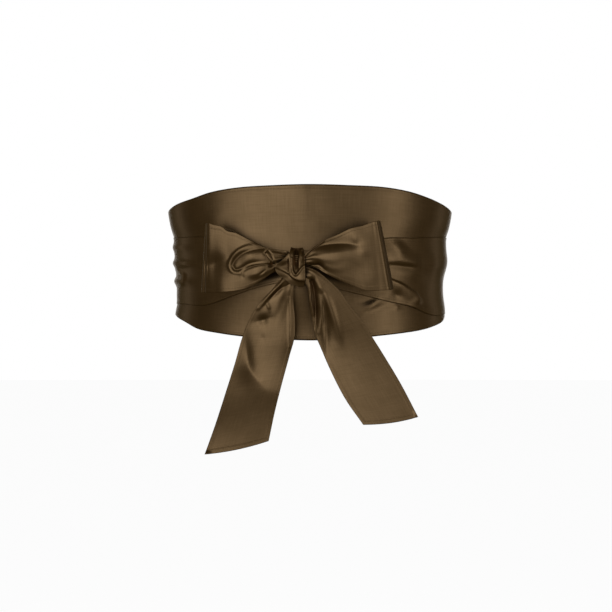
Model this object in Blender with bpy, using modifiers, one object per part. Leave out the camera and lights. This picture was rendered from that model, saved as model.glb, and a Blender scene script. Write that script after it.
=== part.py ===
"""Wide satin obi sash as it is worn: a shaped front panel, and two long ties that cross at
the back, come round over the panel and are tied in a bow. +Z is up and the front faces -Y.
Tables and sizes are in millimetres and degrees, and the finished meshes are in metres."""

from functools import partial

import bmesh
import bpy
import numpy as np
from mathutils import Vector

MM = 0.001

# Cloth
WALL = 1.2
SEAM_GAP = 0.4
LAYER = WALL + 0.6

# Waist ring, through the middle of the panel's wall where the waist is narrowest
HALF_WIDTH = 124.0
HALF_DEPTH = 93.5
FRONT_SHARE_OF_FLARE = 0.45
ARC_PER_DEGREE = 2.0

# The panel ends where the ties are sewn on, behind the sides
PANEL_END = 136.0
SEAM_TURN = SEAM_GAP / ARC_PER_DEGREE

# Pleats on the ties swell and die out over this many degrees
PLEAT_FADE = 18.0

# The share of a ribbon's length, from the knot outward, that its front folds reach
LOOP_FRONT = 0.5
WHOLE_RIBBON = 1.1
FOLD_FADE = 0.05

# Colours are linear, from the lit and the shaded satin
SATIN_COLOUR = (0.133, 0.091, 0.048, 1.0)
SATIN_ROUGHNESS = 0.42
SATIN_METALLIC = 0.0


def table(columns, rows):
    """One array for each named column."""
    return dict(zip(columns.split(), np.array(rows, dtype=float).T))


# The waist is narrowest under the ties and widens above and below them
FLARE = table("height out", [
    (-76, 5.0), (-60, 4.2), (-48, 3.4), (-34, 0.7), (-20, 0.0), (0, 2.0),
    (20, 3.8), (34, 8.0), (47, 10.3), (60, 11.3), (74, 12.0)])

# The panel's two edges, by the angle from the front centre, left of the photo first
PANEL = table("turn top bottom", [
    (-136, 30.0, -34.0), (-112, 40.5, -41.0), (-88, 47.0, -48.2), (-77, 50.6, -51.6),
    (-65, 55.0, -56.2), (-54, 58.8, -62.4), (-42, 64.4, -65.9), (-30, 67.8, -68.8),
    (-15, 69.6, -71.2), (0, 70.5, -72.5), (15, 69.7, -71.3), (30, 68.3, -68.4),
    (42, 64.9, -66.0), (54, 59.6, -63.2), (65, 54.6, -59.6), (77, 49.8, -55.2),
    (88, 46.6, -49.0), (112, 41.0, -41.0), (136, 35.0, -29.0)])

# Each tie by the angle turned from the front, past the back centre at 180, up to the knot.
# The right-hand tie lies over the other one where they cross.
TIE_SEWN_RIGHT = table("turn middle half_width out", [
    (136, 3.0, 32.0, 0.0), (144, 15.0, 23.0, 0.0), (152, 20.5, 18.5, 0.1), (165, 14.0, 17.5, 2.1),
    (180, 4.0, 19.0, 2.3), (200, -1.0, 23.0, 1.9), (225, -5.0, 30.0, LAYER),
    (250, -7.4, 32.0, LAYER), (270, -7.6, 31.5, LAYER), (290, -8.0, 31.2, LAYER),
    (313, -8.4, 31.0, 1.9), (325, -6.5, 26.0, 2.2), (338, -5.5, 19.0, 2.8),
    (346, -4.8, 15.5, 3.8), (351.2, -4.5, 13.5, 5.0)])
TIE_SEWN_LEFT = table("turn middle half_width out", [
    (136, -2.0, 32.0, 0.0), (155, -2.5, 23.0, 0.0), (180, -4.0, 19.0, 0.0), (194, -14.0, 18.0, 0.0),
    (206, -21.5, 17.5, 0.1), (215, -20.0, 19.5, LAYER), (228, -15.0, 28.0, LAYER),
    (250, -12.0, 34.0, LAYER), (270, -12.2, 35.6, LAYER), (302, -12.6, 35.4, LAYER),
    (312, -10.0, 32.0, LAYER), (325, -7.6, 29.5, 1.9), (340, -6.5, 23.5, 2.2),
    (354, -6.0, 17.0, 3.0), (363, -4.8, 14.5, 4.2), (368.2, -4.5, 13.5, 5.0)])

# Pleats along the ties, by the share of the half width from the middle, upward positive
PLEATS_LEFT = table("start end share height half_width", [
    (206, 304, 0.70, 1.5, 3.6), (203, 312, 0.22, 2.2, 3.6), (205, 306, -0.32, 2.6, 3.8),
    (208, 262, -0.80, 1.5, 3.0)])
PLEATS_RIGHT = table("start end share height half_width", [
    (206, 262, 0.74, 1.8, 4.0), (203, 310, 0.34, 2.2, 11.0), (205, 258, -0.34, 2.2, 3.8),
    (208, 254, -0.80, 1.5, 3.0)])

# Edges of the bow's ribbons, a row for each section from the knot outward.
# a is the upper or left edge and b is the lower or right edge, as the photo shows them.
EDGES = "ax ay az bx by bz crown"
LOOP_LEFT = table(EDGES, [
    (-19.5, -111.5, 7.0, -20.0, -112.0, -4.0, 0.5), (-31, -114.2, 9.8, -31, -114.2, -8.5, 2.2),
    (-44, -114.6, 13.2, -43, -114.8, -17.0, 3.0), (-56, -113.0, 19.5, -54, -112.8, -23.3, 2.5),
    (-68, -110.0, 25.5, -65, -110.4, -26.8, 1.5), (-77, -107.4, 29.6, -74, -108.2, -28.0, 0.5),
    (-80.5, -106.4, 31.8, -80, -105.4, -28.3, 0.3), (-87, -104.4, 33.2, -87, -100.0, -28.7, 0.0),
    (-92.3, -101.6, 35.0, -93.5, -94.0, -28.9, 0.0), (-94.6, -96, 34.2, -98.2, -89.0, -28.9, 0.0),
    (-94.8, -90, 33.3, -99.6, -85.6, -28.8, 0.0), (-90, -85, 32.3, -95, -83.0, -28.6, 0.0),
    (-76, -87, 30.0, -77, -86.0, -27.0, 0.0), (-58, -95, 21.0, -56, -95, -22.0, 0.0),
    (-42, -101, 13.0, -41, -101, -14.0, 0.0), (-29, -104, 8.0, -28, -104, -8.0, 0.0),
    (-19.5, -104.5, 5.0, -19.5, -104.5, -4.0, 0.0)])
LOOP_RIGHT = table(EDGES, [
    (-15.5, -113.0, 5.0, -15.5, -113.0, -3.0, 0.5), (-5, -117.4, 5.8, -4, -117.4, -3.0, 0.8),
    (3, -118.8, 12.0, 3, -118, -5.0, 1.6), (13, -119.8, 18.4, 15, -118.8, -12.0, 2.4),
    (24, -120.3, 23.2, 27, -119.6, -18.0, 2.8), (37, -120.4, 29.4, 40, -120.0, -23.2, 2.6),
    (48, -120.2, 32.0, 51, -119.8, -27.2, 2.0), (56, -119.2, 35.0, 61, -118.6, -27.0, 1.2),
    (61.2, -116.4, 36.2, 71.5, -115.0, -26.5, 0.6), (63.6, -107.5, 36.0, 75.0, -106, -25.6, 0.3),
    (63.0, -97.5, 35.0, 75.2, -96, -24.8, 0.3), (56, -91, 33.0, 67, -88.5, -25.0, 0.0),
    (43, -97, 28.0, 50, -96, -22.0, 0.0), (28, -101.5, 21.0, 32, -101.5, -15.0, 0.0),
    (12, -104, 13.0, 13, -104, -8.0, 0.0), (-2, -105, 6.0, -2, -105, -5.0, 0.0),
    (-15.5, -104.5, 4.0, -15.5, -104.5, -3.0, 0.0)])
KNOT = table(EDGES, [
    (-18.5, -101.0, 8.6, -8, -100.9, 8.2, 0.0), (-17.5, -110, 12.2, -7, -110, 12.0, 0.8),
    (-19.0, -117.5, 7.5, -5.6, -119.5, 7.0, 1.6), (-25.0, -119.5, 0.8, -5.0, -121.5, 0.0, 2.4),
    (-31.4, -118.6, -4.8, -4.8, -123, -6.0, 3.0), (-30.6, -118.5, -10.4, -4.6, -123, -12.5, 2.8),
    (-23.5, -119, -16.6, -4.8, -121.8, -18.5, 2.0), (-18.0, -117.6, -21.2, -5.5, -119.2, -23.2, 1.0)])
TAIL_LEFT = table(EDGES, [
    (-24.0, -114.1, -11.0, -14.0, -115.3, -15.0, 0.3), (-33.0, -114.3, -24.5, -15.0, -113.6, -26.0, 1.5),
    (-46.5, -111.5, -39.0, -15.2, -110.5, -38.0, 2.5), (-55.6, -107.0, -54.0, -13.8, -108.0, -52.0, 3.0),
    (-61.6, -104.0, -69.0, -13.8, -107.0, -66.0, 3.0), (-68.8, -104.8, -94.0, -19.0, -107.0, -87.0, 2.2),
    (-76.5, -110.0, -119.0, -25.5, -110.5, -111.0, 1.5),
    (-86.0, -118.5, -149.0, -32.0, -117.5, -137.0, 1.0),
    (-95.0, -125.5, -174.6, -37.4, -124.5, -162.6, 0.5)])
TAIL_RIGHT = table(EDGES, [
    (-11.0, -115.0, -17.5, -10.0, -114.6, -3.8, 0.2), (-3.4, -116.4, -21.5, 4.0, -116.8, -8.2, 1.2),
    (-1.6, -114.5, -31.0, 15.5, -115.8, -16.5, 2.2), (-0.4, -111.8, -42.0, 27.0, -114.4, -27.5, 3.0),
    (1.6, -109.0, -53.0, 35.5, -112.5, -39.5, 3.0), (4.0, -107.0, -65.0, 44.0, -110.5, -50.0, 3.0),
    (9.0, -107.0, -77.5, 55.0, -108.5, -67.0, 2.4), (17.5, -109.0, -97.3, 68.5, -109.5, -88.5, 1.6),
    (31.3, -113.0, -124.5, 83.0, -112.5, -113.0, 0.8), (48.0, -117.0, -148.6, 97.8, -115.5, -141.5, 0.4)])

# Main folds in the front cloth, from one place to another as seen from the front.
# A height above zero is a ridge and one below zero is a trough.
FOLD = "x1 z1 x2 z2 height half_width"
LOOP_LEFT_FOLDS = table(FOLD, [
    (-98, -6, -76, 1, -3.4, 10.0), (-50, 14, -72, 4, 2.0, 4.0), (-72, 4, -72, -9, 1.8, 4.0),
    (-44, 4, -64, 1, -1.8, 4.5), (-42, -6, -59, -12, -1.6, 4.5)])
LOOP_RIGHT_FOLDS = table(FOLD, [
    (9, 13.5, 40, 15.5, -3.8, 6.5), (-2, 0, 44, 7.6, 1.2, 5.0), (39, 26, 48, 10, 1.4, 5.0),
    (2, -3.6, 13, -7.6, -2.0, 4.0)])
KNOT_FOLDS = table(FOLD, [
    (-12.7, 12, -13, -8, -2.6, 3.2), (-18.6, 6, -18.6, -9, 1.4, 2.2), (-30, -6, -6, -17.5, 1.4, 2.6)])
TAIL_LEFT_FOLDS = table(FOLD, [
    (-26, -20, -46, -41, 2.2, 4.0), (-20, -26, -36, -38, -2.0, 4.5), (-48, -55, -38, -53, -2.0, 7.0),
    (-50, -62, -48, -92, 3.6, 8.0), (-48, -92, -36, -112, 2.6, 8.0), (-92, -152, -34, -147, 4.6, 20.0)])
TAIL_RIGHT_FOLDS = table(FOLD, [
    (3, -12, 16, -35, 2.2, 4.5), (16, -35, 26, -70, 2.2, 5.0), (12, -32, 17, -84, -3.0, 4.5),
    (0, -25, 3, -48, 1.2, 3.5)])
WRAP_RIGHT_FOLDS = table(FOLD, [
    (64, -15, 82, -23, 2.2, 5.0), (82, -23, 98, -34, 2.6, 6.0)])
WRAP_LEFT_FOLDS = table(FOLD, [(-40, -2, -90, -4, 1.0, 6.0)])
PANEL_FOLDS = table(FOLD, [
    (48, -47, 68, -39, 1.6, 5.0)])


def smooth(rows, key, column, at):
    """Value of a column on a smooth curve through the rows, for the key values in at."""
    x, y = rows[key], rows[column]
    slope = np.gradient(y, x)
    i = np.clip(np.searchsorted(x, at, side="right") - 1, 0, len(x) - 2)
    step = x[i + 1] - x[i]
    t = np.clip((at - x[i]) / step, 0.0, 1.0)
    rise = t * t * (3 - 2 * t)
    ease_in = t * (1 - t) ** 2
    ease_out = t * t * (t - 1)
    return y[i] + (y[i + 1] - y[i]) * rise + step * (slope[i] * ease_in + slope[i + 1] * ease_out)


def fold_height(rows, along, across):
    """Sum of soft ridges and troughs, each round a line between two places."""
    total = np.zeros_like(along)
    for x1, z1, x2, z2, height, half_width in zip(*(rows[name] for name in FOLD.split())):
        run_x, run_z = x2 - x1, z2 - z1
        share = ((along - x1) * run_x + (across - z1) * run_z) / (run_x ** 2 + run_z ** 2)
        share = np.clip(share, 0.0, 1.0)
        away = np.hypot(along - x1 - share * run_x, across - z1 - share * run_z)
        total += height * np.exp(-(away / half_width) ** 2)
    return total


def ring(turn, height, out):
    """Points of the waist ring by angle from the front, height and distance moved out."""
    angle = np.radians(turn)
    flare = smooth(FLARE, "height", "out", height)
    half_width = HALF_WIDTH + flare
    half_depth = HALF_DEPTH + FRONT_SHARE_OF_FLARE * flare
    side, front = np.sin(angle), -np.cos(angle)
    normal = np.stack([side / half_width, front / half_depth], axis=-1)
    normal /= np.linalg.norm(normal, axis=-1, keepdims=True)
    x = half_width * side + normal[..., 0] * out
    y = half_depth * front + normal[..., 1] * out
    return np.stack([x, y, height], axis=-1)


def panel_relief(turn, height):
    """How far the panel's own folds lift it, and what lies on it, in front."""
    flat = ring(turn, height, np.zeros_like(turn))
    front = np.where(np.cos(np.radians(turn)) > 0, 1.0, 0.0)
    return fold_height(PANEL_FOLDS, flat[..., 0], height) * front


def panel_points(along, across):
    """The front panel, with along from its left end to its right one and across from 0 at the top."""
    turn = -PANEL_END + 2 * PANEL_END * along
    top = smooth(PANEL, "turn", "top", turn)
    bottom = smooth(PANEL, "turn", "bottom", turn)
    height = top + (bottom - top) * across
    return ring(turn, height, panel_relief(turn, height))


def tie_points(rows, pleats, side, front_folds, along, across):
    """A tie from its seam at the panel's end, past the back and round the other side to the knot."""
    first, last = rows["turn"][0] + SEAM_TURN, rows["turn"][-1]
    turned = first + (last - first) * along
    share = 1 - 2 * across
    half_width = smooth(rows, "turn", "half_width", turned)
    height = smooth(rows, "turn", "middle", turned) + half_width * share
    out = smooth(rows, "turn", "out", turned)
    for start, end, at, ridge, width in zip(*(pleats[name] for name in pleats)):
        fade = np.clip(np.minimum(turned - start, end - turned) / PLEAT_FADE, 0.0, 1.0)
        fade = fade * fade * (3 - 2 * fade)
        out = out + ridge * fade * np.exp(-((share - at) * half_width / width) ** 2)
    turn = side * turned
    flat = ring(turn, height, out)
    front = np.where(turned > 270, 1.0, 0.0)
    own = np.maximum(fold_height(front_folds, flat[..., 0], height), 0.0) * front
    return ring(turn, height, out + own + panel_relief(turn, height))


def ribbon_points(rows, folds, front_end, along, across):
    """A ribbon between two edges. Its folds are on the part before front_end, a share of its length."""
    middle = np.stack([rows["a" + c] + rows["b" + c] for c in "xyz"], axis=-1) / 2
    run = np.concatenate([[0.0], np.cumsum(np.linalg.norm(np.diff(middle, axis=0), axis=1))])
    rows = dict(rows, run=run / run[-1])
    edge_a = np.stack([smooth(rows, "run", "a" + c, along) for c in "xyz"], axis=-1)
    edge_b = np.stack([smooth(rows, "run", "b" + c, along) for c in "xyz"], axis=-1)
    points = edge_a + (edge_b - edge_a) * across[..., None]
    lift = smooth(rows, "run", "crown", along) * 4 * across * (1 - across)
    front = np.clip((front_end - along) / FOLD_FADE, 0.0, 1.0)
    own = fold_height(folds, points[..., 0], points[..., 2]) * front
    along_way = np.gradient(points, axis=0)
    across_way = np.gradient(points, axis=1)
    normal = np.cross(along_way, across_way)
    normal /= np.linalg.norm(normal, axis=-1, keepdims=True)
    facing = np.sign(np.sum(normal[1, :, 1]))
    lift = lift + own * np.abs(normal[..., 1])
    return points - normal * facing * lift[..., None]


def satin(name):
    """The part's own satin material."""
    material = bpy.data.materials.new(name + "_satin")
    material.use_nodes = True
    shader = material.node_tree.nodes["Principled BSDF"]
    shader.inputs["Base Color"].default_value = SATIN_COLOUR
    shader.inputs["Roughness"].default_value = SATIN_ROUGHNESS
    shader.inputs["Metallic"].default_value = SATIN_METALLIC
    return material


def cloth(name, steps_along, steps_across, points_at):
    """A wall of cloth: a grid whose points a function places, made thick by Solidify."""
    mesh = bpy.data.meshes.new(name)
    grid = bmesh.new()
    bmesh.ops.create_grid(grid, x_segments=steps_along, y_segments=steps_across, size=1.0)
    share = np.linspace(0.0, 1.0, steps_along + 1)[:, None]
    down = np.linspace(0.0, 1.0, steps_across + 1)[None, :]
    share, down = np.broadcast_arrays(share, down)
    points = points_at(share, down)
    for vertex in grid.verts:
        i = round((vertex.co.x + 1) / 2 * steps_along)
        j = round((1 - vertex.co.y) / 2 * steps_across)
        vertex.co = Vector(points[i, j] * MM)
    grid.to_mesh(mesh)
    grid.free()
    mesh.shade_smooth()
    mesh.materials.append(satin(name))
    piece = bpy.data.objects.new(name, mesh)
    wall = piece.modifiers.new("wall", "SOLIDIFY")
    wall.thickness = WALL * MM
    wall.offset = 0.0
    sash.objects.link(piece)
    return piece


for old in list(bpy.data.objects):
    bpy.data.objects.remove(old)
sash = bpy.data.collections.new("obi_sash")
bpy.context.scene.collection.children.link(sash)

# Each piece with its number of steps along and across the cloth
cloth("front_panel", 56, 12, panel_points)
cloth("wrap_left", 46, 10, partial(tie_points, TIE_SEWN_RIGHT, PLEATS_LEFT, 1, WRAP_LEFT_FOLDS))
cloth("wrap_right", 48, 10, partial(tie_points, TIE_SEWN_LEFT, PLEATS_RIGHT, -1, WRAP_RIGHT_FOLDS))
for name, steps_along, steps_across, rows, folds, front_end in (
        ("loop_left", 34, 12, LOOP_LEFT, LOOP_LEFT_FOLDS, LOOP_FRONT),
        ("loop_right", 34, 12, LOOP_RIGHT, LOOP_RIGHT_FOLDS, LOOP_FRONT),
        ("knot", 14, 10, KNOT, KNOT_FOLDS, WHOLE_RIBBON),
        ("tail_left", 26, 8, TAIL_LEFT, TAIL_LEFT_FOLDS, WHOLE_RIBBON),
        ("tail_right", 26, 8, TAIL_RIGHT, TAIL_RIGHT_FOLDS, WHOLE_RIBBON)):
    cloth(name, steps_along, steps_across, partial(ribbon_points, rows, folds, front_end))
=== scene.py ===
"""Looks of the worn satin sash: shaped front panel, two ties and their bow, as thin folded
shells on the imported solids. Tables are in millimetres and degrees, objects in metres."""

import math

import bmesh
import bpy
import numpy as np
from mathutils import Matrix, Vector


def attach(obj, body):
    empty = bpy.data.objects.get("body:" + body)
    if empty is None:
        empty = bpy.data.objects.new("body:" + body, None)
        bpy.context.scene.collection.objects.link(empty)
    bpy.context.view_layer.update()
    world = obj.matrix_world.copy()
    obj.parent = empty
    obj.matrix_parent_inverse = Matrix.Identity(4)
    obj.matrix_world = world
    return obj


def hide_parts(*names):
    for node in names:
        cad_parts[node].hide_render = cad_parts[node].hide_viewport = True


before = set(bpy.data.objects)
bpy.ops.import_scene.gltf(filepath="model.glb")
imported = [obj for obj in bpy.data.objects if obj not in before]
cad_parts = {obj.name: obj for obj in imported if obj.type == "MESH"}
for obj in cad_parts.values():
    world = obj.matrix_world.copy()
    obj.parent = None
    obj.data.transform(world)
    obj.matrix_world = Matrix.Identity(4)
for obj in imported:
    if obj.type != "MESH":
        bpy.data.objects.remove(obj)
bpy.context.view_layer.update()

MM = 0.001

# Camera: level, straight in front, with the photograph's framing, its places in metres
CAMERA_DISTANCE = 2.5
CAMERA_X = -0.0038
CAMERA_Z = -0.041
MM_PER_PIXEL = 0.95
IMAGE_PIXELS = 612
SENSOR_MM = 36.0

# The oval of the waist, and how much of the panel's flare it has in front
HALF_WIDTH = 124.0
HALF_DEPTH = 93.5
FRONT_SHARE_OF_FLARE = 0.12

# Cloth: its thickness, how far out a tie lies on the panel, a ribbon's width before it is
# gathered, and how far the middle of a ribbon's last end hangs past its corners
WALL = 0.6
LAYER = 1.8
CUT_WIDTH = 66.0
END_BULGE = 2.2

# Degrees round the waist: the panel's end, the seam beside it, where a tie comes to the front
# and over how much its pleats fade
PANEL_END = 136.0
SEAM_TURN = 0.2
FRONT_FROM = 270.0
PLEAT_FADE = 18.0

# A tie's long edges: how far they are pressed down and over what width, where the tie lies
# out at least so far, growing over the last of these
EDGE_DROP = 1.1
EDGE_WIDTH = 6.0
PRESSED_FROM = 1.2
PRESSED_OVER = 0.6

# Shares of a ribbon's length: its front, the stretch where the folds fade, its bulging end
LOOP_FRONT = 0.5
WHOLE_RIBBON = 1.1
FOLD_FADE = 0.05
END_SHARE = 0.2

# Gathers: waves across the ribbon, their height at the back, the power that keeps those in
# front to the narrowest stretches, and their sway as height, turn along and turn across
GATHERS = 4.0
BACK_GATHER = 2.3
GATHER_POWER = 2.2
SWAYS = ((0.5, 5.0, 0.0), (0.35, 17.0, 3.0))

# Folds: points on a path, the powers that shape the sides of a ridge and of a crease, and
# two numbers far above and below any distance
PATH_POINTS = 40
RIDGE_POWER = 2.0
CREASE_POWER = 1.6
FAR = 1e9
TINY = 1e-9

# Hems, in metres: how far the cloth is turned in, the width of that step, the length of one
# stitch with its gap, how far its row lies inside the step, half its width, half the gap, and
# a distance from the edge that has no hem
HEM = 0.0042
HEM_STEP = 0.0008
STITCH = 0.0028
STITCH_INSET = 0.0009
STITCH_HALF_WIDTH = 0.00022
STITCH_HALF_GAP = 0.00035
NO_HEM = 0.03

# Satin: its depths and its sheen, threads both ways and clouds as noise scale and stretch,
# and the relief of threads and hems as strength and height in metres
SATIN_DARK = (0.164, 0.1090, 0.0565, 1.0)
SATIN_LIGHT = (0.204, 0.1360, 0.0730, 1.0)
DARK_BELOW = 0.38
LIGHT_ABOVE = 0.62
ROUGHNESS = 0.37
NOISE_DETAIL = 2.0
THREADS = ((900.0, (0.06, 1.0, 1.0)), (900.0, (1.0, 0.05, 1.0)))
CLOUDS = (55.0, (1.0, 1.0, 1.0))
A_THIRD = 0.3333
THREAD_RELIEF = (0.4, 0.00006)
HEM_RELIEF = (0.8, 0.00008)

# Studio, in metres: the floor and its paint, the room's light as strength and colour, once for
# what is lit and once for what is mirrored
FLOOR_RADIUS = 30.0
FLOOR_CORNERS = 96
FLOOR_HEIGHT = -0.95
FLOOR_PAINT = (0.97, 0.97, 0.97, 1.0)
FLOOR_ROUGHNESS = 0.8
ROOM_LIGHT = (1.0, (1.0, 1.0, 1.0, 1.0))
ROOM_MIRRORED = (0.11, (1.0, 0.80, 0.40, 1.0))

# Soft lights: turn and rise in degrees as seen from the sash, distance, size and radiance
SOFTBOXES = [
    ("key_left", -29, 5, 2.2, (2.3, 1.75), 0.95),
    ("key_core", -31, 20, 2.15, (0.8, 0.7), 0.6),
    ("key_right", 54, 3, 2.2, (0.88, 1.9), 1.08),
    ("fill", 16, 10, 2.6, (2.0, 1.7), 0.38),
    ("rim_left", -117, 0, 2.2, (0.35, 1.6), 0.5),
    ("rim_right", 115, 0, 2.2, (0.35, 1.6), 0.45),
    ("back", 180, 10, 2.4, (2.4, 1.9), 1.1),
]


def table(columns, rows):
    """One array for each named column."""
    return dict(zip(columns.split(), np.array(rows, dtype=float).T))


# How far the waist ring stands out at each height
FLARE = table("height out", [
    (-76, 5.0), (-60, 4.2), (-48, 3.4), (-34, 0.7), (-20, 0.0), (0, 2.0),
    (20, 3.8), (34, 8.0), (47, 10.3), (60, 11.3), (74, 12.0)])

# The panel's two long edges
PANEL = table("turn top bottom", [
    (-136, 30.0, -34.0), (-112, 40.5, -41.0), (-88, 47.0, -48.2), (-77, 50.6, -51.6),
    (-65, 55.0, -56.2), (-54, 58.8, -62.4), (-42, 64.4, -65.9), (-30, 67.8, -68.8),
    (-15, 69.6, -71.2), (0, 70.5, -72.5), (15, 69.7, -71.3), (30, 68.3, -68.4),
    (42, 64.9, -66.0), (54, 59.6, -63.2), (65, 54.6, -59.6), (77, 49.8, -55.2),
    (88, 46.6, -49.0), (112, 41.0, -41.0), (136, 35.0, -29.0)])

# Each tie from its seam round the back to the knot: its middle's height, half its width, and
# how far out it lies
TIE_SEWN_RIGHT = table("turn middle half_width out", [
    (136, 3.0, 32.0, 0.0), (144, 15.0, 23.0, 0.0), (152, 20.5, 18.5, 0.1), (165, 14.0, 17.5, 2.1),
    (180, 4.0, 19.0, 2.3), (200, -1.0, 23.0, 1.9), (225, -5.0, 30.0, LAYER),
    (250, -7.4, 32.0, LAYER), (270, -7.6, 31.5, LAYER), (290, -8.0, 31.2, LAYER),
    (313, -8.4, 31.0, 1.9), (325, -6.5, 26.0, 2.2), (338, -5.5, 19.0, 2.8),
    (346, -4.8, 15.5, 3.8), (351.2, -4.5, 13.5, 5.0)])
TIE_SEWN_LEFT = table("turn middle half_width out", [
    (136, -2.0, 32.0, 0.0), (155, -2.5, 23.0, 0.0), (180, -4.0, 19.0, 0.0), (194, -14.0, 18.0, 0.0),
    (206, -21.5, 17.5, 0.1), (215, -20.0, 19.5, LAYER), (228, -15.0, 28.0, LAYER),
    (250, -12.0, 34.0, LAYER), (270, -12.2, 35.6, LAYER), (302, -12.6, 35.4, LAYER),
    (312, -10.0, 32.0, LAYER), (325, -7.6, 29.5, 1.9), (340, -6.5, 23.5, 2.2),
    (354, -6.0, 17.0, 3.0), (363, -4.8, 14.5, 4.2), (368.2, -4.5, 13.5, 5.0)])

# Pleats along the ties' sides: where they start and end, their place across as a share of half
# the width, their height and half width
PLEATS_LEFT = table("start end share height half_width", [
    (206, 304, 0.70, 1.5, 3.6), (203, 312, 0.22, 2.2, 3.6), (205, 306, -0.32, 2.6, 3.8),
    (208, 262, -0.80, 1.5, 3.0)])
PLEATS_RIGHT = table("start end share height half_width", [
    (206, 262, 0.74, 1.8, 4.0), (203, 310, 0.34, 2.2, 11.0), (205, 258, -0.34, 2.2, 3.8),
    (208, 254, -0.80, 1.5, 3.0)])

# Ribbons of the bow by points on their two edges, a and b, and how far the middle stands out
EDGES = "ax ay az bx by bz crown"
LOOP_LEFT = table(EDGES, [
    (-19.5, -111.5, 7.0, -20.0, -112.0, -4.0, 0.5), (-31, -114.2, 9.8, -31, -114.2, -8.5, 2.2),
    (-44, -114.6, 13.2, -43, -114.8, -17.0, 3.0), (-56, -113.0, 19.5, -54, -112.8, -23.3, 2.5),
    (-68, -110.0, 25.5, -65, -110.4, -26.8, 1.5), (-76, -107.6, 27.6, -74, -108.2, -28.0, 0.5),
    (-80.5, -106.6, 31.2, -80, -105.4, -28.3, 0.3), (-87, -104.9, 32.8, -87, -100.0, -28.7, 0.0),
    (-92.2, -103.4, 34.4, -93.2, -94.6, -28.9, 0.0), (-93.6, -102.0, 34.7, -95.4, -92.4, -28.9, 0.0),
    (-94.2, -98.6, 34.5, -96.4, -90.0, -28.9, 0.0), (-95.2, -96.8, 34.3, -98.4, -88.6, -28.9, 0.0),
    (-95.4, -90, 33.3, -99.6, -85.0, -28.8, 0.0), (-90, -85, 32.3, -95, -83.0, -28.6, 0.0),
    (-76, -87, 30.0, -77, -86.0, -27.0, 0.0), (-58, -95, 21.0, -56, -95, -22.0, 0.0),
    (-42, -101, 13.0, -41, -101, -14.0, 0.0), (-29, -104, 8.0, -28, -104, -8.0, 0.0),
    (-19.5, -104.5, 5.0, -19.5, -104.5, -4.0, 0.0)])
LOOP_RIGHT = table(EDGES, [
    (-15.5, -113.0, 5.0, -15.5, -113.0, -3.0, 0.5), (-5, -117.4, 5.8, -4, -117.4, -3.0, 0.8),
    (3, -118.0, 12.0, 3, -117.4, -5.0, 1.6), (13, -118.6, 18.4, 15, -117.8, -12.0, 2.4),
    (24, -119.2, 23.2, 27, -118.6, -18.0, 2.8), (37, -119.8, 29.4, 40, -119.4, -23.2, 2.6),
    (48, -120.4, 32.0, 51, -120.0, -27.2, 2.0), (56, -120.6, 35.0, 62, -120.0, -27.0, 1.2),
    (60.0, -120.2, 36.0, 70.6, -119.4, -26.6, 0.6), (61.3, -118.6, 36.3, 72.4, -117.6, -26.5, 0.4),
    (62.4, -114.2, 36.3, 73.8, -112.8, -26.2, 0.3), (63.6, -107.5, 36.0, 75.0, -106, -25.6, 0.3),
    (63.0, -97.5, 35.0, 75.2, -96, -24.8, 0.3), (56, -91, 33.0, 67, -88.5, -25.0, 0.0),
    (43, -97, 28.0, 50, -96, -22.0, 0.0), (28, -101.5, 21.0, 32, -101.5, -15.0, 0.0),
    (12, -104, 13.0, 13, -104, -8.0, 0.0), (-2, -105, 6.0, -2, -105, -5.0, 0.0),
    (-15.5, -104.5, 4.0, -15.5, -104.5, -3.0, 0.0)])
KNOT = table(EDGES, [
    (-18.5, -101.0, 8.6, -8, -100.9, 8.2, 0.0), (-17.5, -110, 12.2, -7, -110, 12.0, 0.8),
    (-19.0, -117.5, 7.5, -5.6, -119.5, 7.0, 1.6), (-25.0, -119.5, 0.8, -5.0, -121.5, 0.0, 2.4),
    (-31.4, -118.6, -4.8, -4.8, -123, -6.0, 3.0), (-30.6, -118.5, -10.4, -4.6, -123, -12.5, 2.8),
    (-23.5, -119, -16.6, -4.8, -121.8, -18.5, 2.0), (-18.0, -117.6, -21.2, -5.5, -119.2, -23.2, 1.0)])
TAIL_LEFT = table(EDGES, [
    (-24.0, -114.1, -11.0, -14.0, -115.3, -15.0, 0.3), (-33.0, -114.3, -24.5, -15.0, -113.6, -26.0, 1.5),
    (-46.5, -111.5, -39.0, -15.2, -110.5, -38.0, 2.5), (-55.6, -107.0, -54.0, -13.8, -108.0, -52.0, 3.0),
    (-61.6, -104.0, -69.0, -13.8, -107.0, -66.0, 3.0), (-68.8, -104.8, -94.0, -19.0, -107.0, -87.0, 2.2),
    (-76.5, -110.0, -119.0, -25.5, -110.5, -111.0, 1.5),
    (-86.0, -118.5, -149.0, -32.0, -117.5, -137.0, 1.0),
    (-95.0, -125.5, -174.6, -37.4, -124.5, -162.6, 0.5)])
TAIL_RIGHT = table(EDGES, [
    (-11.0, -115.0, -17.5, -10.0, -114.6, -3.8, 0.2), (-3.4, -116.4, -21.5, 4.0, -116.8, -8.2, 1.2),
    (-1.6, -114.5, -31.0, 15.5, -115.8, -16.5, 2.2), (-0.4, -112.4, -42.0, 27.0, -114.6, -27.5, 3.0),
    (1.6, -110.6, -53.0, 35.5, -113.6, -39.5, 3.0), (4.0, -109.4, -65.0, 44.0, -112.6, -50.0, 3.0),
    (9.0, -109.0, -77.5, 55.0, -111.2, -67.0, 2.4), (17.5, -110.0, -97.3, 68.5, -111.0, -88.5, 1.6),
    (31.3, -113.0, -124.5, 83.0, -112.7, -113.0, 0.8), (48.0, -117.0, -148.6, 97.8, -115.5, -141.5, 0.4)])

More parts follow.
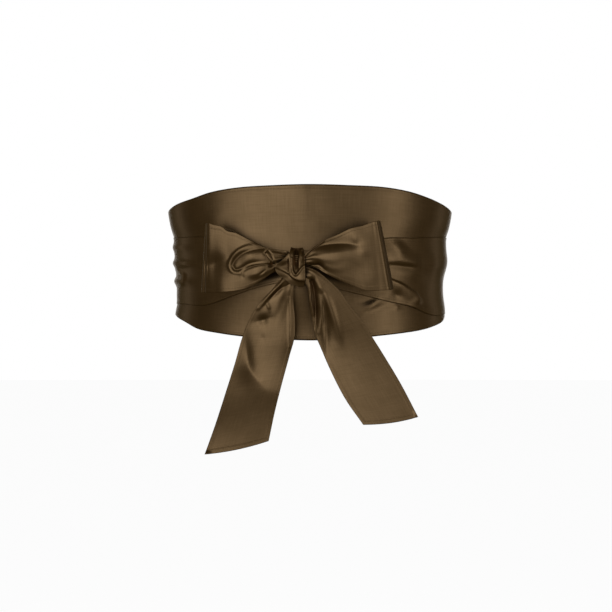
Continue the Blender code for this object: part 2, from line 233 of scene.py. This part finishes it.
# Folds as seen from the front. Each has its height at the start, middle and end of its
# path, its half widths on the left and right of the way it runs, and the path's x and z.
LOOP_LEFT_FOLDS = [
    (-2.5, -4.0, -1.8, 9.0, 12.0, [(-99, -6), (-87, -3), (-74, 2)]),
    (0.4, 1.9, 0.6, 4.4, 1.6, [(-50, 14.2), (-58.1, 12.6), (-66.2, 8), (-71.9, 1), (-73.4, -4.7),
                               (-70.8, -9.4), (-64, -11.2)]),
    (-0.6, -1.6, -0.6, 1.8, 1.9, [(-42.2, 11.2), (-54.6, 9.1), (-62.7, 5.7), (-68.5, -0.1), (-70.2, -4.7),
                                  (-67.3, -8), (-61.5, -6.5), (-55.8, -3), (-46.5, -1), (-38.6, -0.3)]),
    (0.3, 1.4, 0.3, 5.5, 5.5, [(-64, -1.5), (-54, 3.5), (-44, 5.0)]),
    (-0.5, -1.4, -0.9, 1.1, 1.5, [(-61, -14.5), (-61.3, -11.1), (-58.1, -7.7), (-51.2, -4.8), (-43, -3.6),
                                  (-37.9, -3.4)]),
    (0.2, 1.2, 0.2, 3.4, 3.4, [(-57, -13.6), (-50, -12.0), (-43, -9.0)]),
    (-0.9, -1.2, -0.9, 0.8, 0.8, [(-35, -3), (-39.6, 3.4), (-41.3, 6.8), (-39, 9.1), (-36.1, 6.8),
                                  (-34.3, 2.2), (-31.9, -3)]),
    (0.2, 0.9, 0.4, 1.6, 1.6, [(-38.8, 6.0), (-34.5, -1.2)]),
    (-2.0, -2.6, -1.5, 1.8, 1.8, [(-37.0, -4.4), (-34, -3.6)]),
    (-0.3, -0.7, -0.3, 0.9, 0.9, [(-46, -12.9), (-40.8, -8.8)]),
]
LOOP_RIGHT_FOLDS = [
    (1.6, 2.2, 0.6, 1.2, 0.9, [(-6.5, 3.5), (-0.2, 8.9), (6.2, 13.6), (12.0, 17.6)]),
    (-0.4, -3.8, -2.0, 7.5, 4.0, [(-4.7, 3.4), (1.6, 9.0), (8.9, 13.0), (17.9, 15.0), (31.5, 15.8),
                                  (42, 15.0)]),
    (0.2, 0.8, 0.1, 3.0, 11.0, [(-2.9, -1), (0.8, 1.8), (8.9, 4.3), (17.9, 5.5), (31.5, 7.0), (44, 7.6)]),
    (-2.0, -3.4, -1.0, 2.2, 3.2, [(0.5, -4.0), (7.0, -3.6), (13.5, -7.9)]),
    (0.4, 1.3, 0.8, 9.0, 4.2, [(36.5, 29.5), (41.5, 20.0), (48.0, 10.0)]),
    (-0.1, -0.8, -0.1, 7.0, 7.0, [(32, 0), (46, -7), (56, -18)]),
]
KNOT_FOLDS = [
    (-6.0, -4.2, -0.8, 2.7, 2.5, [(-12.7, 12), (-12.9, 0), (-13.3, -11)]),
    (0.8, 1.6, 0.8, 0.9, 1.3, [(-16.9, 2.4), (-16.9, -4.9), (-16, -10.3), (-13.7, -13), (-11, -10.8),
                               (-8.8, -7.6), (-6.0, -5.0)]),
    (0.4, 1.3, 0.6, 1.0, 1.0, [(-10.1, 7), (-10.6, -6.0)]),
    (-2.6, -1.5, -0.2, 1.4, 1.4, [(-7.2, 9), (-7.2, 3), (-7.0, -3)]),
    (0.6, 1.5, 0.6, 0.8, 0.8, [(-18.6, 6.2), (-18.8, -3), (-19.3, -10.5)]),
    (-0.4, -0.9, -0.4, 0.7, 0.7, [(-20.4, 4.0), (-20.4, -3), (-20.6, -9.5)]),
    (0.8, 1.6, 1.0, 4.0, 1.1, [(-30.4, -5.8), (-24.6, -8.7), (-19.2, -11.9), (-15.5, -15.5), (-11, -17.6),
                               (-5.0, -18.0)]),
    (0.2, 0.8, 0.4, 2.2, 1.6, [(-29, -4.6), (-24, -1), (-20.5, 3)]),
]
TAIL_LEFT_FOLDS = [
    (1.4, 2.6, 0.6, 1.6, 2.8, [(-22.8, -17.0), (-32.0, -25.8), (-38.3, -32.5), (-46.7, -42.5)]),
    (-1.0, -1.8, -0.5, 2.6, 1.6, [(-18.2, -21.0), (-27.4, -25.7), (-34.7, -32.5), (-40, -40)]),
    (0.2, 0.9, 0.2, 1.4, 1.4, [(-39.2, -36.6), (-37.0, -44.6)]),
    (-0.8, -2.4, -0.8, 3.6, 6.0, [(-49, -55.5), (-43.5, -53.4), (-36.5, -51.5)]),
    (-0.2, -0.6, -0.2, 4.0, 4.0, [(-46, -70), (-39.5, -69.5)]),
    (0.3, 6.4, 0.3, 10.0, 30.0, [(-16, -22), (-17, -72), (-28, -122)]),
    (-0.8, -4.2, -0.6, 6.4, 10.0, [(-60.0, -60), (-59.0, -77), (-54.5, -100), (-42, -116)]),
    (5.0, 5.5, 5.0, 46.0, 20.0, [(-97, -173), (-64, -170), (-36, -166)]),
    (0.3, 0.9, 0.3, 1.2, 1.2, [(-19.4, -33), (-19.2, -55), (-18.8, -78)]),
    (1.3, 1.6, 0.8, 1.8, 1.8, [(-95, -174), (-91, -173.6)]),
]
TAIL_RIGHT_FOLDS = [
    (0.8, 2.2, 0.02, 3.4, 3.4, [(1.0, -9), (8.4, -19.0), (14.5, -31), (20, -46.7), (24.5, -62), (29, -84)]),
    (0.3, 1.2, 0.3, 2.0, 2.0, [(8.9, -24.7), (10.7, -39.7), (11.1, -51), (8, -64.6)]),
    (-0.8, -2.9, -0.02, 4.0, 3.2, [(10.6, -30), (13.2, -46), (14.6, -60), (15.0, -76), (14.8, -96)]),
    (0.8, 1.3, 0.4, 1.2, 1.5, [(-4.2, -19.3), (-1.3, -24.7), (0.2, -36.9), (2.6, -48.3)]),
    (-3.8, -3.6, -0.8, 2.6, 2.4, [(1.2, -18.0), (3.2, -26), (4.6, -38), (5.0, -50), (3.6, -68)]),
    (1.2, 1.5, 0.8, 1.8, 1.8, [(97.6, -141.4), (95.4, -137)]),
]
WRAP_RIGHT_FOLDS = [
    (0.4, 2.6, 2.4, 1.1, 8.0, [(62, -13), (76.5, -18.4), (83, -21.1), (92.2, -26.7), (98.7, -31.3),
                               (100, -33.6)]),
    (0.4, 2.2, 0.2, 14.0, 9.0, [(72.7, 3.0), (80, 10), (88, 18)]),
    (1.8, 3.0, 0.8, 9.0, 16.0, [(74, 0), (92, -2), (112, -4)]),
    (-1.6, -2.4, -0.3, 2.6, 4.4, [(73, -3.4), (86, -4.4), (104, -7)]),
    (-0.2, -0.9, -0.2, 3.5, 3.5, [(74, -27), (80, -31), (86, -33)]),
]
WRAP_LEFT_FOLDS = [
    (0.3, 1.2, 0.3, 6.0, 6.0, [(-40, -2), (-90, -4)]),
    (0.8, 1.6, 0.6, 1.6, 3.0, [(-124.5, -5.5), (-117.0, -13.5), (-119.5, -20)]),
]
PANEL_FOLDS = [
    (0.02, 0.3, 0.55, 20.0, 5.0, [(-5.7, 32), (-5.7, 50), (-5.7, 74)]),
    (0.6, 2.6, 0.8, 6.0, 13.0, [(-28, 8), (-53, 16), (-70, 25), (-86, 33)]),
    (0.3, 1.2, 0.3, 2.8, 3.2, [(46.1, -46.5), (57, -39.5), (68.2, -33.7)]),
    (-0.2, -0.7, -0.2, 2.6, 3.0, [(39.6, -38.3), (52, -35.4), (64.5, -32.7)]),
    (-0.2, -0.7, -0.2, 2.8, 2.6, [(53.5, -47.1), (66, -42), (78.4, -38.3)]),
    (0.2, 0.9, 0.2, 2.0, 2.0, [(76, -41), (83, -43)]),
    (1.0, 7.6, 1.0, 14.0, 30.0, [(-96, -14), (-20, -21), (46, -23)]),
]

# Ribbons of the bow: node, steps along and across, flat size in metres, edges, folds, share of
# the length that is its front, height of its gathers in front, and which of its edges are hemmed
RIBBONS = [
    ("loop_left", 300, 104, (0.066, 0.176), LOOP_LEFT, LOOP_LEFT_FOLDS, LOOP_FRONT, 0.5, "edges"),
    ("loop_right", 300, 104, (0.064, 0.184), LOOP_RIGHT, LOOP_RIGHT_FOLDS, LOOP_FRONT, 0.4, "edges"),
    ("knot", 140, 90, (0.028, 0.052), KNOT, KNOT_FOLDS, WHOLE_RIBBON, 0.0, "none"),
    ("tail_left", 240, 76, (0.059, 0.166), TAIL_LEFT, TAIL_LEFT_FOLDS, WHOLE_RIBBON, 0.3,
     "edges and end"),
    ("tail_right", 240, 76, (0.055, 0.162), TAIL_RIGHT, TAIL_RIGHT_FOLDS, WHOLE_RIBBON, 0.3,
     "edges and end"),
]


def ease(share):
    """A share from 0 to 1 that starts and stops gently."""
    return share * share * (3 - 2 * share)


def unit(vectors):
    """The same directions with length 1."""
    return vectors / np.linalg.norm(vectors, axis=-1, keepdims=True)


def way_along(points):
    """Distance along a line of points at each of them."""
    return np.concatenate([[0.0], np.cumsum(np.linalg.norm(np.diff(points, axis=0), axis=1))])


def smooth(rows, key, column, at):
    """Value of a column on a smooth curve through the rows, for the key values in at."""
    x, y = rows[key], rows[column]
    slope = np.gradient(y, x)
    i = np.clip(np.searchsorted(x, at, side="right") - 1, 0, len(x) - 2)
    step = x[i + 1] - x[i]
    t = np.clip((at - x[i]) / step, 0.0, 1.0)
    ease_in = t * (1 - t) ** 2
    ease_out = t * t * (t - 1)
    return y[i] + (y[i + 1] - y[i]) * ease(t) + step * (slope[i] * ease_in + slope[i + 1] * ease_out)


def curve_through(points, count):
    """Evenly timed points on a smooth curve through the given ones."""
    points = np.array(points, dtype=float)
    if len(points) == 2:
        return points[0] + (points[1] - points[0]) * np.linspace(0, 1, count)[:, None]
    run = way_along(points)
    rows = {"run": run, "x": points[:, 0], "z": points[:, 1]}
    at = np.linspace(0, run[-1], count)
    return np.stack([smooth(rows, "run", "x", at), smooth(rows, "run", "z", at)], axis=1)


def beside_path(path, x, z):
    """For each place its distance from a fold's path, the share of the path reached there, and
    how squarely it lies on the left of the way the path runs, from -1 to 1."""
    line = curve_through(path, PATH_POINTS)
    distance = np.full(x.shape, FAR)
    share = np.zeros_like(x)
    left = np.zeros_like(x)
    for k in range(len(line) - 1):
        run = line[k + 1] - line[k]
        t = ((x - line[k, 0]) * run[0] + (z - line[k, 1]) * run[1]) / (run @ run)
        t = np.clip(t, 0.0, 1.0)
        away_x = x - line[k, 0] - t * run[0]
        away_z = z - line[k, 1] - t * run[1]
        away = np.hypot(away_x, away_z)
        sine = (run[0] * away_z - run[1] * away_x) / (np.hypot(*run) * away + TINY)
        near = away < distance
        distance = np.where(near, away, distance)
        share = np.where(near, (k + t) / (len(line) - 1), share)
        left = np.where(near, sine, left)
    return distance, share, left


def fold_height(folds, x, z):
    """Sum of the folds' heights at the given places."""
    total = np.zeros_like(x)
    for start, middle, end, left_width, right_width, path in folds:
        distance, share, left = beside_path(path, x, z)
        width = right_width + (left_width - right_width) * (0.5 + 0.5 * left)
        height = start + (middle - start) * ease(np.clip(2 * share, 0.0, 1.0))
        height += (end - middle) * ease(np.clip(2 * share - 1, 0.0, 1.0))
        power = RIDGE_POWER if middle > 0 else CREASE_POWER
        total += height * np.exp(-(distance / width) ** power)
    return total


def ring(turn, height, out):
    """Points of the waist ring by angle from the front, height and distance moved out."""
    angle = np.radians(turn)
    flare = smooth(FLARE, "height", "out", height)
    half_width = HALF_WIDTH + flare
    half_depth = HALF_DEPTH + FRONT_SHARE_OF_FLARE * flare
    side, front = np.sin(angle), -np.cos(angle)
    normal = unit(np.stack([side / half_width, front / half_depth], axis=-1))
    x = half_width * side + normal[..., 0] * out
    y = half_depth * front + normal[..., 1] * out
    return np.stack([x, y, height], axis=-1)


def panel_relief(turn, height):
    """How far the panel's own folds lift it, and what lies on it, in front."""
    flat = ring(turn, height, np.zeros_like(turn))
    front = np.where(np.cos(np.radians(turn)) > 0, 1.0, 0.0)
    return fold_height(PANEL_FOLDS, flat[..., 0], height) * front


def panel_points(along, across):
    """The front panel, with along from its left end to its right one and across from 0 at the top."""
    turn = -PANEL_END + 2 * PANEL_END * along
    top = smooth(PANEL, "turn", "top", turn)
    bottom = smooth(PANEL, "turn", "bottom", turn)
    height = top + (bottom - top) * across
    return ring(turn, height, panel_relief(turn, height))


def tie_points(rows, pleats, side, front_folds, along, across):
    """A tie from its seam at the panel's end, past the back and round the other side to the knot.
    Its turns count from the front over the side it is sewn to, which is 1 for right, -1 for left."""
    first, last = rows["turn"][0] + SEAM_TURN, rows["turn"][-1]
    turned = first + (last - first) * along
    share = 1 - 2 * across
    half_width = smooth(rows, "turn", "half_width", turned)
    height = smooth(rows, "turn", "middle", turned) + half_width * share
    out = smooth(rows, "turn", "out", turned)
    for start, end, at, ridge, width in zip(*(pleats[name] for name in pleats)):
        fade = ease(np.clip(np.minimum(turned - start, end - turned) / PLEAT_FADE, 0.0, 1.0))
        out = out + ridge * fade * np.exp(-((share - at) * half_width / width) ** 2)
    pressed = np.clip((out - PRESSED_FROM) / PRESSED_OVER, 0.0, 1.0)
    out = out - EDGE_DROP * pressed * np.exp(-((1 - np.abs(share)) * half_width / EDGE_WIDTH) ** 2)
    turn = side * turned
    flat = ring(turn, height, out)
    front = np.where(turned > FRONT_FROM, 1.0, 0.0)
    own = fold_height(front_folds, flat[..., 0], height) * front
    return ring(turn, height, out + own + panel_relief(turn, height))


def ribbon_points(rows, folds, front_end, gather, along, across):
    """A ribbon between two edges. Its folds are on the part before front_end, a share of its length.
    Where it is narrower than its cut it has small gathers, gather high in front."""
    middle = np.stack([rows["a" + c] + rows["b" + c] for c in "xyz"], axis=-1) / 2
    run = way_along(middle)
    rows = dict(rows, run=run / run[-1])
    edge_a = np.stack([smooth(rows, "run", "a" + c, along) for c in "xyz"], axis=-1)
    edge_b = np.stack([smooth(rows, "run", "b" + c, along) for c in "xyz"], axis=-1)
    points = edge_a + (edge_b - edge_a) * across[..., None]
    arch = 4 * across * (1 - across)
    lift = smooth(rows, "run", "crown", along) * arch
    front = np.clip((front_end - along) / FOLD_FADE, 0.0, 1.0)
    crush = np.clip(1.0 - np.linalg.norm(edge_b - edge_a, axis=-1) / CUT_WIDTH, 0.0, 1.0)
    wave = GATHERS * across
    for high, turn_along, turn_across in SWAYS:
        wave = wave + high * np.sin(turn_along * along + turn_across * across)
    high = gather * crush ** GATHER_POWER * front + BACK_GATHER * crush * (1.0 - front)
    own = fold_height(folds, points[..., 0], points[..., 2]) * front + high * np.sin(2 * np.pi * wave)
    along_way = np.gradient(points, axis=0)
    across_way = np.gradient(points, axis=1)
    if front_end == WHOLE_RIBBON:
        end = np.clip((along - 1 + END_SHARE) / END_SHARE, 0.0, 1.0) ** 2 * arch
        points = points + unit(along_way) * (end * END_BULGE)[..., None]
    normal = unit(np.cross(along_way, across_way))
    facing = np.sign(np.sum(normal[1, :, 1]))
    points = points - normal * facing * lift[..., None]
    points[..., 1] -= own
    return points


def math_node(tree, operation, *values):
    """The result of a Math node on the given sockets and numbers."""
    node = tree.nodes.new("ShaderNodeMath")
    node.operation = operation
    for socket, value in zip(node.inputs, values):
        if isinstance(value, float):
            socket.default_value = value
        else:
            tree.links.new(value, socket)
    return node.outputs["Value"]


def noise_node(tree, place, scale, stretch):
    """Noise over the cloth, drawn out along the direction whose stretch is small."""
    mapping = tree.nodes.new("ShaderNodeMapping")
    mapping.inputs["Scale"].default_value = stretch
    tree.links.new(place, mapping.inputs["Vector"])
    noise = tree.nodes.new("ShaderNodeTexNoise")
    noise.inputs["Scale"].default_value = scale
    noise.inputs["Detail"].default_value = NOISE_DETAIL
    tree.links.new(mapping.outputs["Vector"], noise.inputs["Vector"])
    return noise.outputs["Fac"]


def bump_node(tree, relief, height, under=None):
    """The normal of a relief, given as strength and height, on top of another normal."""
    bump = tree.nodes.new("ShaderNodeBump")
    bump.inputs["Strength"].default_value, bump.inputs["Distance"].default_value = relief
    tree.links.new(height, bump.inputs["Height"])
    if under is not None:
        tree.links.new(under, bump.inputs["Normal"])
    return bump.outputs["Normal"]


def hem_height(tree):
    """Height of the turned-in hem, 1 on it and 0 beside it, less a row of sunk stitches."""
    hem_map = tree.nodes.new("ShaderNodeUVMap")
    hem_map.uv_map = "hem"
    parts = tree.nodes.new("ShaderNodeSeparateXYZ")
    tree.links.new(hem_map.outputs["UV"], parts.inputs["Vector"])
    to_edge, way = parts.outputs["X"], parts.outputs["Y"]
    turned_in = tree.nodes.new("ShaderNodeMapRange")
    turned_in.interpolation_type = "SMOOTHSTEP"
    turned_in.inputs["From Min"].default_value = HEM - HEM_STEP / 2
    turned_in.inputs["From Max"].default_value = HEM + HEM_STEP / 2
    turned_in.inputs["To Min"].default_value = 1.0
    turned_in.inputs["To Max"].default_value = 0.0
    tree.links.new(to_edge, turned_in.inputs["Value"])
    in_row = math_node(tree, "COMPARE", to_edge, HEM - STITCH_INSET, STITCH_HALF_WIDTH)
    from_gap = math_node(tree, "PINGPONG", way, STITCH / 2)
    dash = math_node(tree, "GREATER_THAN", from_gap, STITCH_HALF_GAP)
    sunk = math_node(tree, "MULTIPLY", in_row, dash)
    return math_node(tree, "SUBTRACT", turned_in.outputs["Result"], sunk)


def satin_material():
    """Bronze brown satin: dark in its depth, with a tinted sheen, fine slubs and a stitched hem."""
    material = bpy.data.materials.new("satin")
    material.use_nodes = True
    tree = material.node_tree
    shader = tree.nodes["Principled BSDF"]
    shader.inputs["Metallic"].default_value = 1.0
    shader.inputs["Roughness"].default_value = ROUGHNESS
    cloth_map = tree.nodes.new("ShaderNodeUVMap")
    cloth_map.uv_map = "cloth"
    place = cloth_map.outputs["UV"]
    threads = math_node(tree, "ADD", *(noise_node(tree, place, *thread) for thread in THREADS))
    mottle = math_node(tree, "ADD", threads, noise_node(tree, place, *CLOUDS))
    tint = tree.nodes.new("ShaderNodeValToRGB")
    dark, light = tint.color_ramp.elements
    dark.position = DARK_BELOW
    dark.color = SATIN_DARK
    light.position = LIGHT_ABOVE
    light.color = SATIN_LIGHT
    tree.links.new(math_node(tree, "MULTIPLY", mottle, A_THIRD), tint.inputs["Fac"])
    tree.links.new(tint.outputs["Color"], shader.inputs["Base Color"])
    woven = bump_node(tree, THREAD_RELIEF, threads)
    tree.links.new(bump_node(tree, HEM_RELIEF, hem_height(tree), woven), shader.inputs["Normal"])
    return material


def cloth_maps(mesh, along, across, flat, hems):
    """Two maps in metres for the satin: places on the flat cloth, and for each place its distance
    from the nearest hemmed edge with the way along that edge."""
    corner = np.empty(len(mesh.loops), dtype=int)
    mesh.loops.foreach_get("vertex_index", corner)
    width, length = flat
    places = np.stack([along * length, (across - 0.5) * width], axis=1)
    nowhere = np.full(len(along), NO_HEM)
    to_edge = np.minimum(across, 1 - across) * width if hems != "none" else nowhere
    to_end = (1 - along) * length if hems == "edges and end" else nowhere
    way = np.where(to_end < to_edge, places[:, 1], places[:, 0])
    hem_places = np.stack([np.minimum(to_edge, to_end), way], axis=1)
    for name, values in (("cloth", places), ("hem", hem_places)):
        layer = mesh.uv_layers.new(name=name)
        layer.uv.foreach_set("vector", values[corner].ravel())


def cloth(node, steps_along, steps_across, flat, points_at, satin, hems="edges"):
    """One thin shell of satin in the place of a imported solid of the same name, with hems on
    its long edges, or on those and its last end, or on none."""
    mesh = bpy.data.meshes.new(node + "_satin")
    grid = bmesh.new()
    bmesh.ops.create_grid(grid, x_segments=steps_along, y_segments=steps_across, size=1.0)
    grid.to_mesh(mesh)
    grid.free()
    square = np.empty(len(mesh.vertices) * 3)
    mesh.vertices.foreach_get("co", square)
    square = square.reshape(-1, 3)
    i = np.rint((square[:, 0] + 1) / 2 * steps_along).astype(int)
    j = np.rint((1 - square[:, 1]) / 2 * steps_across).astype(int)
    along, across = np.meshgrid(np.linspace(0, 1, steps_along + 1), np.linspace(0, 1, steps_across + 1),
                                indexing="ij")
    points = points_at(along, across) * MM
    mesh.vertices.foreach_set("co", points[i, j].ravel())
    cloth_maps(mesh, along[i, j], across[i, j], flat, hems)
    mesh.update()
    mesh.shade_smooth()
    mesh.materials.append(satin)
    piece = bpy.data.objects.new(node + "_satin", mesh)
    bpy.context.scene.collection.objects.link(piece)
    wall = piece.modifiers.new("wall", "SOLIDIFY")
    wall.thickness = WALL * MM
    wall.offset = 0.0
    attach(piece, "root")
    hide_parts(node)


def sash():
    """Every piece of the sash. The left wrap is the tie sewn to the panel's right end."""
    satin = satin_material()
    cloth("front_panel", 330, 84, (0.143, 0.552), panel_points, satin)
    cloth("wrap_left", 300, 50, (0.066, 0.43),
          lambda u, v: tie_points(TIE_SEWN_RIGHT, PLEATS_LEFT, 1, WRAP_LEFT_FOLDS, u, v),
          satin)
    cloth("wrap_right", 320, 54, (0.07, 0.46),
          lambda u, v: tie_points(TIE_SEWN_LEFT, PLEATS_RIGHT, -1, WRAP_RIGHT_FOLDS, u, v),
          satin)
    for name, along, across, flat, edges, folds, front_end, gather, hems in RIBBONS:
        cloth(name, along, across, flat,
              lambda u, v: ribbon_points(edges, folds, front_end, gather, u, v),
              satin, hems)


def floor():
    """A plain pale floor that the satin doesn't mirror."""
    bpy.ops.mesh.primitive_circle_add(vertices=FLOOR_CORNERS, radius=FLOOR_RADIUS, fill_type="NGON",
                                      location=(0, 0, FLOOR_HEIGHT))
    ground = bpy.context.object
    ground.name = "floor"
    paint = bpy.data.materials.new("pale_floor")
    paint.use_nodes = True
    shader = paint.node_tree.nodes["Principled BSDF"]
    shader.inputs["Base Color"].default_value = FLOOR_PAINT
    shader.inputs["Roughness"].default_value = FLOOR_ROUGHNESS
    shader.inputs["Specular IOR Level"].default_value = 0.0
    ground.data.materials.append(paint)
    ground.visible_glossy = False


def softbox(name, turn, rise, distance, size, radiance):
    """An oblong light facing the sash, turned in degrees from the front and raised in degrees."""
    turn, rise = math.radians(turn), math.radians(rise)
    lamp = bpy.data.lights.new(name, "AREA")
    lamp.shape = "RECTANGLE"
    lamp.size, lamp.size_y = size
    lamp.energy = radiance * math.pi * size[0] * size[1]
    holder = bpy.data.objects.new(name, lamp)
    way = Vector((math.sin(turn) * math.cos(rise), -math.cos(turn) * math.cos(rise), math.sin(rise)))
    holder.location = way * distance
    holder.rotation_euler = (-way).to_track_quat("-Z", "Y").to_euler()
    bpy.context.scene.collection.objects.link(holder)


def room():
    """The pale room around the sash, which the satin mirrors as a dim one."""
    world = bpy.data.worlds.new("studio")
    bpy.context.scene.world = world
    world.use_nodes = True
    nodes, links = world.node_tree.nodes, world.node_tree.links
    lit = nodes["Background"]
    mirrored = nodes.new("ShaderNodeBackground")
    for light, (strength, colour) in ((lit, ROOM_LIGHT), (mirrored, ROOM_MIRRORED)):
        light.inputs["Strength"].default_value = strength
        light.inputs["Color"].default_value = colour
    rays = nodes.new("ShaderNodeLightPath")
    mix = nodes.new("ShaderNodeMixShader")
    links.new(rays.outputs["Is Glossy Ray"], mix.inputs["Fac"])
    links.new(lit.outputs["Background"], mix.inputs[1])
    links.new(mirrored.outputs["Background"], mix.inputs[2])
    links.new(mix.outputs["Shader"], nodes["World Output"].inputs["Surface"])


def camera():
    """A level camera with the photograph's framing."""
    lens = bpy.data.cameras.new("camera")
    lens.sensor_width = SENSOR_MM
    lens.lens = SENSOR_MM * CAMERA_DISTANCE / (MM_PER_PIXEL * MM * IMAGE_PIXELS)
    holder = bpy.data.objects.new("camera", lens)
    holder.location = (CAMERA_X, -CAMERA_DISTANCE, CAMERA_Z)
    holder.rotation_euler = (math.radians(90), 0, 0)
    bpy.context.scene.collection.objects.link(holder)
    bpy.context.scene.camera = holder
    bpy.context.scene.view_settings.view_transform = "Standard"


sash()
floor()
for row in SOFTBOXES:
    softbox(*row)
room()
camera()
